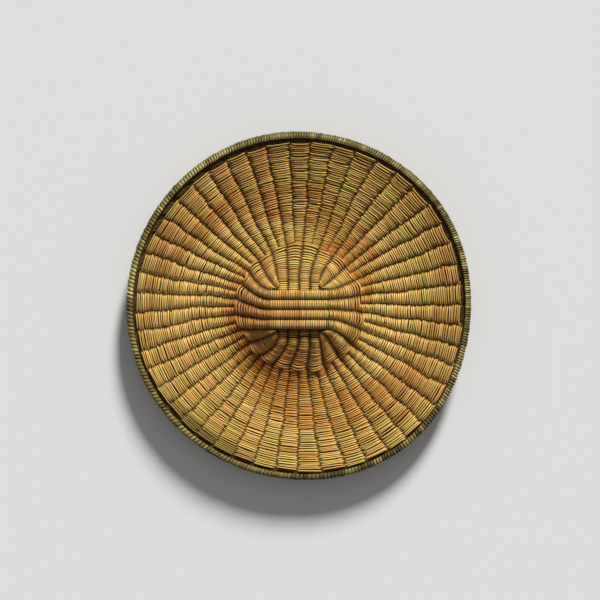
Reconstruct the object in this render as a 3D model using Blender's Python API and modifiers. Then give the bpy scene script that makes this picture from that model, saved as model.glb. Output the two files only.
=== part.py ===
"""Round wicker plaque: crossed bundles of rods, stems woven through them, and a bound rim.

The plaque lies face up: +Z comes out of its face, +X is the face's right and +Y its top.
All sizes are in metres. The origin is on the floor below the middle of the rim.

Every rod lies on one middle surface, which spot() gives. A place on it has an arm number,
which counts the bundles round the hub, and a reach, which is its distance out.
"""

import math

import bmesh
import bpy
import numpy as np

# Overall form
PLAQUE_RADIUS = 0.165  # over the rim
DOME_RISE = 0.0125  # how far the hub stands above the ring that the plaque rests on
DISH_RISE = 0.0150  # how far the rim stands above that ring
REST_INNER = 0.069  # radii of the flat ring that the plaque rests on
REST_OUTER = 0.081
DISH_CURVE = 1.25  # 1 is a straight cone, more is a bowl

# Crossed pads at the centre
ACROSS_PITCH = 0.0094  # rib to rib in the pad on the face
UPRIGHT_PITCH = 0.0104  # rib to rib in the pad on the back
ACROSS_OVERHANG = 0.0058  # how far the pad on the face runs past the upright group, at each end
UPRIGHT_OVERHANG = 0.0078  # how far the pad on the back runs past the group across
PAD_DROP = 0.0038  # how far below the plaque's middle the bundles cross
PAD_SIDE_TRIM = 0.0005  # from a pad's long side to the groove between it and the next bundle
CORNER_GAP = 0.0018  # from the pads' edges to the bundles set in between them

# Bundles of rods
SIDE_BUNDLES = 4  # in each of the two crossed groups
CORNER_BUNDLES = 2  # set in at each corner of the cross
SPLIT_RADIUS = 0.059  # where each bundle parts into two ribs
ROD_THICKNESS = 0.0024
BUNDLE_SPACING = 0.0024  # between the rods of neighbouring ribs
SQUARE_RUN = 0.010  # how far the rods run square to the pads before they fan out

# The hand-made unevenness of the fan, in degrees
FAN_TURN = -5.5
LEAN_AT_SPLIT, LEAN_AT_RIM, LEAN_TOWARDS = 2.7, 1.9, 73.0
CROWD_AT_SPLIT, CROWD_AT_RIM, CROWD_TOWARDS = 0.7, 1.5, 262.0

# Woven stems
STEM_THICKNESS = 0.0016
PAD_STEM_THICKNESS = 0.0012
GROOVE_HALF_THICKNESS = 0.0012  # where stems of the face and the back cross between ribs
SHOULDER = 0.0017  # from the middle of a groove to the flat of a rib

# Rim
RIM_THICKNESS = 0.0058  # over the wrapping
WRAP_THICKNESS = 0.0010
RIM_GROOVE = 0.0030  # between the last row of weaving and the rim
WRAP_OPENING = 56.0  # degrees each side of the rods that enter the rim

CLEARANCE = 0.0003  # between pieces that lie against each other
HUB_CLEARANCE = 0.0005  # round the rods in the hub, where they twist from the pads into the fan

# Places that follow from those sizes
ARMS = 4 * (SIDE_BUNDLES + CORNER_BUNDLES)
QUARTER = SIDE_BUNDLES + CORNER_BUNDLES
CREST = ROD_THICKNESS / 2 + CLEARANCE + STEM_THICKNESS
PAD_CREST = ROD_THICKNESS / 2 + CLEARANCE + PAD_STEM_THICKNESS
PAD_LAYER = PAD_CREST + CLEARANCE / 2  # each pad's middle, above or below the hub's middle surface
PAD_PITCHES = (ACROSS_PITCH, UPRIGHT_PITCH)
PAD_HALF_LENGTHS = (
    SIDE_BUNDLES / 2 * UPRIGHT_PITCH + ACROSS_OVERHANG,
    SIDE_BUNDLES / 2 * ACROSS_PITCH + UPRIGHT_OVERHANG,
)
HUB_EDGE = sum(PAD_HALF_LENGTHS) / 2 + CLEARANCE
RIM_RADIUS = PLAQUE_RADIUS - RIM_THICKNESS / 2
CORE_RADIUS = RIM_THICKNESS / 2 - WRAP_THICKNESS - CLEARANCE
WEAVE_EDGE = RIM_RADIUS - RIM_THICKNESS / 2 - RIM_GROOVE
ROD_END = RIM_RADIUS - CORE_RADIUS - CLEARANCE

HUB_STEPS = 3
HUB_REACHES = np.linspace(HUB_EDGE, SPLIT_RADIUS, HUB_STEPS + 1)
RING_REACHES = np.array([SPLIT_RADIUS, REST_INNER, REST_OUTER])
DISH_REACHES = np.linspace(REST_OUTER, WEAVE_EDGE, 3)
ALL_REACHES = np.unique(np.concatenate((HUB_REACHES, RING_REACHES, DISH_REACHES, [ROD_END])))
RIM_STEPS = 72
CORE_SIDES = 6
WRAP_SIDES = 6
CUTTER_OVERRUN = 0.001


def smoothstep(share):
    share = np.clip(share, 0, 1)
    return share * share * (3 - 2 * share)


def turned(outward, sideways, quarter):
    """A point or direction of one side of the cross, turned to the side with that number."""
    cosine, sine = ((1, 0), (0, 1), (-1, 0), (0, -1))[quarter % 4]
    return cosine * outward - sine * sideways, sine * outward + cosine * sideways


def pad_outline():
    """Rows of arm number, x, y, heading x, heading y and layer round the crossed pads.

    The layer is 1 where the bundles that run across leave the pad on the face, and -1 where
    the upright ones leave the pad on the back.
    """
    rows = []
    half = SIDE_BUNDLES / 2
    for quarter in range(4):
        pitch, next_pitch = PAD_PITCHES[quarter % 2], PAD_PITCHES[1 - quarter % 2]
        edge = PAD_HALF_LENGTHS[quarter % 2] + CLEARANCE
        layer = 1 - 2 * (quarter % 2)
        corner = (half * next_pitch + CORNER_GAP, half * pitch + CORNER_GAP)
        places = (
            (-half, (edge, -half * pitch), (1, 0), layer),
            (half, (edge, half * pitch), (1, 0), layer),
            (half + CORNER_BUNDLES / 2, corner, (math.sqrt(0.5), math.sqrt(0.5)), 0),
        )
        for arm, point, heading, place_layer in places:
            x, y = turned(*point, quarter)
            rows.append((arm + quarter * QUARTER, x, y - PAD_DROP, *turned(*heading, quarter), place_layer))
    return np.array(rows)


OUTLINE = pad_outline()


def on_outline(arm, column):
    return np.interp(arm, OUTLINE[:, 0], OUTLINE[:, column], period=ARMS)


def fan_angle(arm, radius):
    """The direction of an arm: even steps, with the lean and the crowding of the weaver's hand."""
    outward = np.clip((radius - SPLIT_RADIUS) / (RIM_RADIUS - SPLIT_RADIUS), 0, 1)
    lean = LEAN_AT_SPLIT + (LEAN_AT_RIM - LEAN_AT_SPLIT) * outward
    crowd = CROWD_AT_SPLIT + (CROWD_AT_RIM - CROWD_AT_SPLIT) * outward
    even = 360 / ARMS * arm + FAN_TURN
    leaning = lean * np.cos(np.radians(even - LEAN_TOWARDS))
    crowding = crowd * np.cos(np.radians(2 * even - CROWD_TOWARDS))
    return np.radians(even + leaning + crowding)


def middle_height(reach):
    """The middle surface's height: a dome, then the flat ring, then the dish up to the rim."""
    dome = DOME_RISE * (1 - smoothstep((reach - HUB_EDGE) / (REST_INNER - HUB_EDGE)))
    outward = np.clip((reach - REST_OUTER) / (RIM_RADIUS - REST_OUTER), 0, None)
    return CREST + dome + DISH_RISE * outward**DISH_CURVE


def spot(arm, reach):
    """The point of the middle surface at an arm number and a reach.

    Beyond the split ring the reach is the radius. Inside it, the arm follows a quadratic curve
    that leaves the pads square to their edge and ends on its own radial line.
    """
    arm, reach = np.broadcast_arrays(np.asarray(arm, float), np.asarray(reach, float))
    share = np.minimum((reach - HUB_EDGE) / (SPLIT_RADIUS - HUB_EDGE), 1)
    radius = np.maximum(reach, SPLIT_RADIUS)
    angle = fan_angle(arm, radius)
    x, y = on_outline(arm, 1), on_outline(arm, 2)
    turn_x = x + SQUARE_RUN * on_outline(arm, 3)
    turn_y = y + SQUARE_RUN * on_outline(arm, 4)
    first, middle, last = (1 - share) ** 2, 2 * share * (1 - share), share**2
    x = first * x + middle * turn_x + last * radius * np.cos(angle)
    y = first * y + middle * turn_y + last * radius * np.sin(angle)
    layer = PAD_LAYER * on_outline(arm, 5) * (1 - smoothstep(share))
    return np.stack((x, y, middle_height(reach) + layer), axis=-1)


def inset(first, last, reach, from_first, from_last):
    """The two points between the arms first and last that lie these distances inside them."""
    width = np.linalg.norm(spot(last, reach) - spot(first, reach), axis=-1)
    span = last - first
    return (
        spot(first + span * from_first / width, reach),
        spot(last - span * from_last / width, reach),
    )


def material(name, colour, roughness):
    made = bpy.data.materials.new(name)
    made.use_nodes = True
    shader = made.node_tree.nodes["Principled BSDF"]
    shader.inputs["Base Color"].default_value = (*colour, 1)
    shader.inputs["Roughness"].default_value = roughness
    shader.inputs["Metallic"].default_value = 0
    return made


def loft(name, bodies, collection, finish, closed=False):
    """One object that skins each body's cross-sections in turn.

    A body is an array of sections, each a loop of points. An open body is capped at both ends.
    Every skin is split along the same diagonal, so that rods stay parallel to their channel.
    """
    mesh = bpy.data.meshes.new(name)
    skin = bmesh.new()
    for sections in bodies:
        rows = [[skin.verts.new(point) for point in section] for section in np.asarray(sections)]
        for row, following in zip(rows, rows[1:] + rows[:1] if closed else rows[1:]):
            for i in range(len(row)):
                skin.faces.new((row[i - 1], row[i], following[i]))
                skin.faces.new((row[i - 1], following[i], following[i - 1]))
        if not closed:
            skin.faces.new(rows[0])
            skin.faces.new(rows[-1])
    bmesh.ops.recalc_face_normals(skin, faces=skin.faces)
    skin.to_mesh(mesh)
    skin.free()
    mesh.shade_smooth()
    mesh.set_sharp_from_angle(angle=math.radians(35))
    return place(bpy.data.objects.new(name, mesh), collection, finish)


def place(made, collection, finish):
    for holder in made.users_collection:
        holder.objects.unlink(made)
    collection.objects.link(made)
    if finish:
        made.data.materials.clear()
        made.data.materials.append(finish)
    return made


def cutter(name, bodies, collection):
    made = loft(name, bodies, collection, None)
    made.hide_render = True
    made.display_type = "WIRE"
    return made


def cut(made, tool):
    boolean = made.modifiers.new("rod channels", "BOOLEAN")
    boolean.operation = "DIFFERENCE"
    boolean.solver = "EXACT"
    boolean.object = tool


def slab(lines, half_thickness):
    """Flat sections across lines that run side by side, thickened up and down."""
    rise = np.array((0, 0, half_thickness))
    return np.stack([line - rise for line in lines] + [line + rise for line in lines[::-1]], axis=1)


def half_bundle(arm, half, reaches):
    """The edges of one of the two ribs that a bundle parts into, along its reaches.

    The halves lie side by side at the pads and move apart until they reach the split ring.
    """
    outward = np.clip((reaches - HUB_EDGE) / (SPLIT_RADIUS - HUB_EDGE), 0, 1)
    outer_inset = np.full(len(reaches), BUNDLE_SPACING / 2)
    inner_inset = (CLEARANCE + (BUNDLE_SPACING - CLEARANCE) * outward) / 2
    first = arm + half / 2
    insets = (outer_inset, inner_inset) if half == 0 else (inner_inset, outer_inset)
    return inset(first, first + 0.5, reaches, *insets)


def crossing_rods(name, arm, half, opposite_arm, collection, finish):
    """Half a bundle that runs from rim to rim through its pad."""
    low, high = half_bundle(arm, half, ALL_REACHES)
    far_high, far_low = half_bundle(opposite_arm, 1 - half, ALL_REACHES)
    low = np.concatenate((far_low[::-1], low))
    high = np.concatenate((far_high[::-1], high))
    return loft(name, [slab((low, high), ROD_THICKNESS / 2)], collection, finish)


def corner_rods(name, arm, half, collection, finish):
    """Half a bundle that starts at the pads' corner and runs to the rim."""
    low, high = half_bundle(arm, half, ALL_REACHES)
    return loft(name, [slab((low, high), ROD_THICKNESS / 2)], collection, finish)


def channels(name, first_arms, span, reaches, clearance, collection):
    """The cutter for the rods' ways through the weaving: one body for each rib, a clearance larger."""
    reaches = np.concatenate(([reaches[0] - CUTTER_OVERRUN], reaches, [reaches[-1] + CUTTER_OVERRUN]))
    margin = BUNDLE_SPACING / 2 - clearance
    bodies = []
    for arm in first_arms:
        low, high = inset(arm, arm + span, reaches, margin, margin)
        lines = (low, spot(arm + span / 2, reaches), high) if span == 1 else (low, high)
        bodies.append(slab(lines, ROD_THICKNESS / 2 + clearance))
    return cutter(name, bodies, collection)


def woven_band(name, ribs, reaches, collection, finish):
    """A ring of weaving: flat-topped ribs on the face and the back, with grooves between them."""
    span = ARMS / ribs
    sections = []
    for arm in np.arange(ribs) * span:
        left, right = inset(arm, arm + span, reaches, SHOULDER, SHOULDER)
        for line, half_thickness in (
            (spot(arm, reaches), GROOVE_HALF_THICKNESS),
            (left, CREST),
            (right, CREST),
        ):
            rise = np.array((0, 0, half_thickness))
            sections.append(np.concatenate((line + rise, (line - rise)[::-1])))
    return loft(name, [sections], collection, finish, closed=True)


def trimmed(reaches, at_start, at_end):
    """The same reaches with half a clearance left at the ends that meet another band."""
    kept = np.array(reaches)
    kept[0] += CLEARANCE / 2 * at_start
    kept[-1] -= CLEARANCE / 2 * at_end
    return kept


def pad(name, quarter, collection, cutters, finish):
    """The small rectangle woven on one crossed group before the two groups were laid together."""
    pitch, half_length = PAD_PITCHES[quarter], PAD_HALF_LENGTHS[quarter]
    middle = middle_height(0.0) + PAD_LAYER * (1 - 2 * quarter)
    half = SIDE_BUNDLES / 2

    def line(sideways, reach, height):
        ends = [turned(outward, sideways, quarter) for outward in (-reach, reach)]
        return np.array([(x, y - PAD_DROP, middle + height) for x, y in ends])

    def section(sideways, half_thickness):
        top = line(sideways, half_length, half_thickness)
        return np.concatenate((top, line(sideways, half_length, -half_thickness)[::-1]))

    sections, ways = [], []
    for rib in range(SIDE_BUNDLES):
        low, high = (rib - half) * pitch, (rib + 1 - half) * pitch
        sections.append(section(low + PAD_SIDE_TRIM * (rib == 0), GROOVE_HALF_THICKNESS))
        sections += [section(low + SHOULDER, PAD_CREST), section(high - SHOULDER, PAD_CREST)]
        margin = BUNDLE_SPACING / 2 - CLEARANCE
        past_end = half_length + CUTTER_OVERRUN
        edges = [line(side, past_end, 0) for side in (low + margin, high - margin)]
        ways.append(slab(edges, ROD_THICKNESS / 2 + CLEARANCE))
    sections.append(section(half * pitch - PAD_SIDE_TRIM, GROOVE_HALF_THICKNESS))
    made = loft(name, [sections], collection, finish)
    cut(made, cutter(name + " channels", ways, cutters))
    return made


def rim_core(collection, finish):
    """The rods' ends, bent over along the edge and bundled into a ring."""
    bpy.ops.mesh.primitive_torus_add(
        location=(0, 0, middle_height(RIM_RADIUS)),
        major_radius=RIM_RADIUS,
        minor_radius=CORE_RADIUS,
        major_segments=RIM_STEPS,
        minor_segments=CORE_SIDES,
    )
    made = bpy.context.object
    made.name = made.data.name = "rim_core"
    made.data.shade_smooth()
    return place(made, collection, finish)


def rim_wrap(collection, finish):
    """The strip wound round the core, open towards the rods that come into it."""
    sweep = math.radians(180 - WRAP_OPENING)
    angles = np.linspace(sweep, -sweep, WRAP_SIDES + 1)
    flats_to_corners = 1 / math.cos(sweep / WRAP_SIDES)
    outer, inner = RIM_THICKNESS / 2, (CORE_RADIUS + CLEARANCE) * flats_to_corners
    outside = [(outer * math.cos(a), outer * math.sin(a)) for a in angles]
    inside = [(inner * math.cos(a), inner * math.sin(a)) for a in angles[::-1]]
    profile = [(RIM_RADIUS + x, 0, z) for x, z in outside + inside]
    edges = [(i, (i + 1) % len(profile)) for i in range(len(profile))]
    mesh = bpy.data.meshes.new("rim_wrap")
    mesh.from_pydata(profile, edges, [])
    made = bpy.data.objects.new("rim_wrap", mesh)
    made.location = (0, 0, middle_height(RIM_RADIUS))
    turn = made.modifiers.new("turned round the plaque", "SCREW")
    turn.steps = turn.render_steps = RIM_STEPS
    turn.use_merge_vertices = True
    turn.merge_threshold = 0.00001
    turn.use_smooth_shade = True
    return place(made, collection, finish)


def build():
    for old in list(bpy.data.objects):
        bpy.data.objects.remove(old, do_unlink=True)
    plaque = bpy.data.collections.new("basketry plaque")
    cutters = bpy.data.collections.new("cutters")
    for collection in (plaque, cutters):
        bpy.context.scene.collection.children.link(collection)

    rods = material("peeled rods", (0.20, 0.12, 0.045), 0.75)
    pad_stems = material("pad stems", (0.40, 0.26, 0.10), 0.6)
    hub_stems = material("hub stems", (0.24, 0.12, 0.035), 0.65)
    ring_stems = material("resting ring stems", (0.40, 0.22, 0.07), 0.6)
    dish_stems = material("dish stems", (0.43, 0.29, 0.09), 0.6)
    bent_rods = material("bent rod ends", (0.07, 0.045, 0.02), 0.8)
    strip = material("green leaf strip", (0.17, 0.14, 0.05), 0.5)

    half = SIDE_BUNDLES // 2
    for quarter, word in enumerate(("across", "upright")):
        for rib in range(2 * SIDE_BUNDLES):
            bundle, part = divmod(rib, 2)
            arm = quarter * QUARTER - half + bundle
            opposite = (quarter + 2) * QUARTER + half - 1 - bundle
            crossing_rods(f"rods_{word}_{rib + 1}", arm, part, opposite, plaque, rods)
    for corner in range(4):
        for rib in range(2 * CORNER_BUNDLES):
            bundle, part = divmod(rib, 2)
            arm = corner * QUARTER + half + bundle
            number = corner * 2 * CORNER_BUNDLES + rib + 1
            corner_rods(f"rods_corner_{number}", arm, part, plaque, rods)

    pad("front_pad_weave", 0, plaque, cutters, pad_stems)
    pad("back_pad_weave", 1, plaque, cutters, pad_stems)

    hub = woven_band("hub_weave", ARMS, trimmed(HUB_REACHES, 0, 1), plaque, hub_stems)
    cut(hub, channels("hub channels", np.arange(ARMS), 1, HUB_REACHES, HUB_CLEARANCE, cutters))

    all_ribs = np.arange(2 * ARMS) / 2
    outer_reaches = np.unique(np.concatenate((RING_REACHES, DISH_REACHES)))
    outer_channels = channels("outer channels", all_ribs, 0.5, outer_reaches, CLEARANCE, cutters)
    ring = woven_band("resting_ring_weave", 2 * ARMS, trimmed(RING_REACHES, 1, 1), plaque, ring_stems)
    cut(ring, outer_channels)
    dish = woven_band("dish_weave", 2 * ARMS, trimmed(DISH_REACHES, 1, 0), plaque, dish_stems)
    cut(dish, outer_channels)

    rim_core(plaque, bent_rods)
    rim_wrap(plaque, strip)


build()
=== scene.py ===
"""Round wicker plaque, lying face up and seen square on.

Peeled rods radiate from a crossed centre. Thin stems run over one rib and under the next, on
the two crossed pads, round the hub and on to the edge. There the rods' ends bend over into a
ring, and a leaf strip is wound round it. Every piece follows one curved surface: on_plaque()
gives a place on it from an arm number, which counts the bundles of rods round the plaque, and
a reach, which is how far out it lies. All sizes are in metres.
"""

import bpy
import numpy as np
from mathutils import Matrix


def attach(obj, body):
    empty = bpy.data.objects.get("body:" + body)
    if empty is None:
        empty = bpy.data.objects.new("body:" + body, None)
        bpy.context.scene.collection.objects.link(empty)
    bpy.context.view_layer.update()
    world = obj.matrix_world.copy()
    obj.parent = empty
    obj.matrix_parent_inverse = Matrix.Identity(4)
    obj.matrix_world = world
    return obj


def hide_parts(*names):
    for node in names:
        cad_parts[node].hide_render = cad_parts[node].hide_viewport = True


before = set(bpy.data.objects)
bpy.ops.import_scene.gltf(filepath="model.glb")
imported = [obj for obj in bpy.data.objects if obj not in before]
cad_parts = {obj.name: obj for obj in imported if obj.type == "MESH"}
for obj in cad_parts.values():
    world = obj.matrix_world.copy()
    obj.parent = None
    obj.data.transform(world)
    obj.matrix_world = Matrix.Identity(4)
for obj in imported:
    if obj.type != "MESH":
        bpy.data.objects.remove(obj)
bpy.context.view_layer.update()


# Rods
# Peeled shrub rods, laid side by side, are the ribs' cores. Two groups of four bundles cross at
# the centre and run from rim to rim, and two more bundles are set in at each corner of the
# cross. Each bundle parts into two ribs. At the edge the ends bend over sideways.

RIM_RADIUS = 0.1621  # of the ring's middle line
WEAVE_EDGE = 0.1562  # of the last row of stems
SPLIT_RADIUS = 0.059  # where each bundle parts into two ribs
HUB_EDGE = 0.0269  # where the weaving round the crossed pads begins
REST_INNER, REST_OUTER = 0.069, 0.081  # of the flat ring that the plaque rests on
DOME_RISE, DISH_RISE = 0.0125, 0.0150  # of the hub and of the rim, above that ring
DISH_CURVE = 1.25  # power of the way out from that ring to the rim
CREST = 0.0031  # from the middle surface to the outside of a stem over a rib
ACROSS_PITCH, UPRIGHT_PITCH = 0.0094, 0.0104  # from bundle to bundle in each crossed group
PAD_DROP = 0.0038  # how far the pads' middle lies below the plaque's
PAD_LAYER = 0.00285  # from the middle surface to each pad's own
CORNER_ROOM = 0.0008  # how far outside the pads' corners the bundles set in there begin
STRAIGHT_START = 0.010  # how far a bundle heads straight out from the pads before it turns
ARMS = 24
FIRST_ARM = -6.0  # direction of arm 0, in degrees from the face's right
DRAWN_IN = 0.050  # how close two ribs of a bundle lie just outside the parting, in arms
ROD_WIDTH = 0.0023
RODS_IN_RIB = 7
TOUCHING = 1.14  # a six-sided rod is a seventh narrower than its width, so this closes the gaps
GROOVE_ROOM = 0.0035  # left free of rods at each edge of a rib, where the stems dive
BENT_SIDEWAYS, BENT_DOWN = 0.16, 0.0012  # of a rod's end: in arms, and in metres
ROUND_WITHIN = 0.05  # reach up to which the plaque is a true circle
# Slow bends of the ribs: times round, degrees, direction in which they bend forwards the most,
# its twist per metre outwards, middle radius, spread.
BENDS = (
    (4, 0.52, 204, 2400, 0.100, 0.024),
    (3, 0.42, 27, 1400, 0.088, 0.026),
    (2, 0.36, 193, 0, 0.092, 0.018),
)


def smoothstep(share):
    """Eased from 0 to 1: three times the square less twice the cube."""
    share = np.clip(share, 0, 1)
    return share * share * (3 - 2 * share)


def bell(value, middle, spread):
    """A bell curve, 1 at the middle: e to the power of minus the square of distance over spread."""
    return np.exp(-(((value - middle) / spread) ** 2))


def towards(way, degrees):
    """The cosine of the angle from a direction in degrees, and 0 past a right angle."""
    return np.clip(np.cos(way - np.radians(degrees)), 0, 1)


def wander(seed, across, along, steps=ARMS):
    """Smooth values from -1 to 1: seeded random numbers on a grid, eased from one to the next.

    The grid repeats after that number of steps across, so that a turn round the plaque closes.
    """
    rows = 97
    grid = np.random.default_rng(seed).uniform(-1, 1, (steps, rows))
    across, along = np.broadcast_arrays(np.asarray(across, float), np.asarray(along, float))
    i, j = np.floor(across).astype(int), np.floor(along).astype(int)
    right, up = smoothstep(across - i), smoothstep(along - j)
    low, high = (
        grid[i % steps, row % rows] * (1 - right) + grid[(i + 1) % steps, row % rows] * right
        for row in (j, j + 1)
    )
    return low * (1 - up) + high * up


def length(vectors):
    """The root of the sum of squares along the last axis."""
    return np.linalg.norm(vectors, axis=-1)


def unit(vectors):
    """Each vector over its length."""
    return vectors / np.maximum(length(vectors), 1e-12)[..., None]


def pad_outline():
    """Rows of arm number, x, y, heading x, heading y and layer round the crossed pads.

    One side of the cross has three places: its two outer arms and the middle of its corner.
    The others are that side turned by quarters. Bundles leave the pad on the face a layer up,
    and the one behind it a layer down.
    """
    rows = []
    for quarter in range(4):
        pitch, next_pitch = ((ACROSS_PITCH, UPRIGHT_PITCH) * 2)[quarter % 2 : quarter % 2 + 2]
        corner = (2 * next_pitch + CORNER_ROOM, 2 * pitch + CORNER_ROOM)
        side = 1 - 2 * (quarter % 2)
        places = (
            (-2, (HUB_EDGE, -2 * pitch), (1, 0), side),
            (2, (HUB_EDGE, 2 * pitch), (1, 0), side),
            (3, corner, (np.sqrt(0.5), np.sqrt(0.5)), 0),
        )
        cosine, sine = ((1, 0), (0, 1), (-1, 0), (0, -1))[quarter]
        for arm, (x, y), (u, v), layer in places:
            spot = (cosine * x - sine * y, sine * x + cosine * y - PAD_DROP)
            heading = (cosine * u - sine * v, sine * u + cosine * v)
            rows.append((arm + 6 * quarter, *spot, *heading, layer))
    return np.array(rows)


OUTLINE = pad_outline()


def on_outline(arm, column):
    """A column of the outline, in straight lines from row to row."""
    return np.interp(arm, OUTLINE[:, 0], OUTLINE[:, column], period=ARMS)


def way_of(arm):
    """An arm's direction in radians, before the ribs' unevenness: even steps from arm 0."""
    return np.radians(360 / ARMS * np.asarray(arm, float) + FIRST_ARM)


def fan_angle(arm, radius):
    """The direction of an arm: even steps, plus the lean, crowding and bends of the ribs.

    Lean and crowding are cosines of one, two and three turns, which change outwards. A bend is
    a cosine too, within a bell in the radius. Random bends ease in outside the hub.
    """
    outward = np.clip((radius - SPLIT_RADIUS) / (RIM_RADIUS - SPLIT_RADIUS), 0, 1)
    way = way_of(arm)
    turn = (2.25 - 0.38 * outward) * np.cos(way - np.radians(94 + 19 * outward))
    turn = turn + (0.7 + 0.8 * outward) * np.cos(2 * way - np.radians(262))
    turn = turn + 0.5 * outward * np.cos(3 * way - np.radians(203))
    for times, size, most, twist, middle, spread in BENDS:
        crest = np.radians(most + twist * (radius - middle))
        turn = turn + size * bell(radius, middle, spread) * np.cos(times * way - crest)
    loose = smoothstep((radius - 0.055) / 0.03)
    turn = turn + 0.36 * wander(11, 2 * arm, radius / 0.014, 2 * ARMS) * loose
    return way + np.radians(turn)


def out_of_round(angle, reach):
    """The hand-woven edge over a true circle: 1 plus cosines of one to five turns, eased in."""
    swell = (
        0.0055 * np.cos(angle + np.radians(24))
        + 0.0064 * np.cos(2 * angle - np.radians(216))
        + 0.0052 * np.cos(3 * angle - np.radians(181))
        + 0.0050 * np.cos(4 * angle - np.radians(130))
        + 0.0020 * np.cos(5 * angle - np.radians(126))
    )
    return 1 + swell * smoothstep((reach - ROUND_WITHIN) / (RIM_RADIUS - ROUND_WITHIN))


def middle_height(reach):
    """A dome over the hub, then the flat ring that the plaque rests on, then the dish.

    The dome eases down to the ring, and the dish rises from it as a power of the way out.
    """
    dome = DOME_RISE * (1 - smoothstep((reach - HUB_EDGE) / (REST_INNER - HUB_EDGE)))
    outward = np.clip((reach - REST_OUTER) / (RIM_RADIUS - REST_OUTER), 0, None)
    return CREST + dome + DISH_RISE * outward**DISH_CURVE


def parting_ring(arm, radius):
    """How much further out a bundle parts: at random, and more at the lower right.

    Outside the parting the shift fades, by half a bell in the radius.
    """
    later = 0.0016 * towards(way_of(arm), 322) ** 3
    return (later + 0.0025 * wander(12, arm - 0.5, 0)) * bell(radius, SPLIT_RADIUS, 0.012)


def on_plaque(arm, reach):
    """The point of the plaque's middle surface at an arm number and a reach.

    Outside the ring where the bundles part, the reach is the radius. Inside it an arm is a
    quadratic curve, from square to the pads' outline to its own radial line. Just outside the
    ring, the two ribs of a bundle still lie close together: a sine draws them in.
    """
    arm, reach = np.broadcast_arrays(np.asarray(arm, float), np.asarray(reach, float))
    drawn = DRAWN_IN * smoothstep((reach - SPLIT_RADIUS + 0.006) / 0.006)
    drawn = drawn * smoothstep((0.086 - reach) / 0.024)
    arm = arm + drawn * np.sin(2 * np.pi * arm)
    share = np.clip((reach - HUB_EDGE) / (SPLIT_RADIUS - HUB_EDGE), -0.2, 1)
    radius = np.maximum(reach, SPLIT_RADIUS)
    angle = fan_angle(arm, radius)
    radius = radius * out_of_round(angle, radius) + parting_ring(arm, radius)
    x, y = on_outline(arm, 1), on_outline(arm, 2)
    first, middle, last = (1 - share) ** 2, 2 * share * (1 - share), share**2
    turn_x = x + STRAIGHT_START * on_outline(arm, 3)
    turn_y = y + STRAIGHT_START * on_outline(arm, 4)
    x = first * x + middle * turn_x + last * radius * np.cos(angle)
    y = first * y + middle * turn_y + last * radius * np.sin(angle)
    layer = PAD_LAYER * on_outline(arm, 5) * (1 - smoothstep(share))
    return np.stack((x, y, middle_height(reach) + layer), axis=-1)


def facing(arm, reach):
    """Which way the face looks there: square to small steps outwards and round the plaque."""
    outwards = on_plaque(arm, reach + 2e-4) - on_plaque(arm, reach - 2e-4)
    around = on_plaque(arm + 0.02, reach) - on_plaque(arm - 0.02, reach)
    return unit(np.cross(outwards, around))


def tubes(name, centre, along, up, width, height, first, sides=6, **marks):
    """One mesh of oval tubes, each closed at both ends, over one long run of centre points.

    A point's ring is square to its direction: its half height lies along up, and its half
    width along the cross product of direction and up. first marks where each tube starts.
    Each mark becomes an attribute. The one named grain holds the distance along the stem and
    the ring's cosine and sine, so that fibres run lengthwise with no seam.
    """
    count = len(centre)
    angle = np.arange(sides) * 2 * np.pi / sides
    sideways = unit(np.cross(along, up))
    upright = np.cross(sideways, unit(along))
    ring = (
        centre[:, None]
        + (upright * (height / 2)[:, None])[:, None] * np.cos(angle)[None, :, None]
        + (sideways * (width / 2)[:, None])[:, None] * np.sin(angle)[None, :, None]
    )
    corner = np.arange(count * sides).reshape(count, sides)
    starts = np.zeros(count, bool)
    starts[first] = True
    joined = ~starts[1:]
    this, following = corner[:-1][joined], corner[1:][joined]
    quads = np.stack((this, np.roll(this, -1, 1), np.roll(following, -1, 1), following), -1)
    last = np.append(np.asarray(first)[1:], count) - 1
    ends = corner[first][:, ::-1].tolist() + corner[last].tolist()
    mesh = bpy.data.meshes.new(name)
    mesh.from_pydata(ring.reshape(-1, 3), [], quads.reshape(-1, 4).tolist() + ends)
    mesh.shade_smooth()
    step = np.append(0, length(np.diff(centre, axis=0)))
    travelled = np.cumsum(np.where(starts, 0, step))
    grain = np.stack(np.broadcast_arrays(travelled[:, None], np.cos(angle), np.sin(angle)), -1)
    mesh.attributes.new("grain", "FLOAT_VECTOR", "POINT").data.foreach_set(
        "vector", grain.astype(np.float32).ravel()
    )
    for mark, values in marks.items():
        spread = np.repeat(np.broadcast_to(values, count), sides).astype(np.float32)
        mesh.attributes.new(mark, "FLOAT", "POINT").data.foreach_set("value", spread)
    return mesh


def show(mesh, finish, slot, *nodes):
    """Puts a finished mesh in the scene as a piece of the plaque, in place of its CAD nodes."""
    mesh.materials.append(finish)
    piece = bpy.data.objects.new(mesh.name, mesh)
    bpy.context.scene.collection.objects.link(piece)
    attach(piece, "root")
    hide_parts(*nodes)


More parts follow.
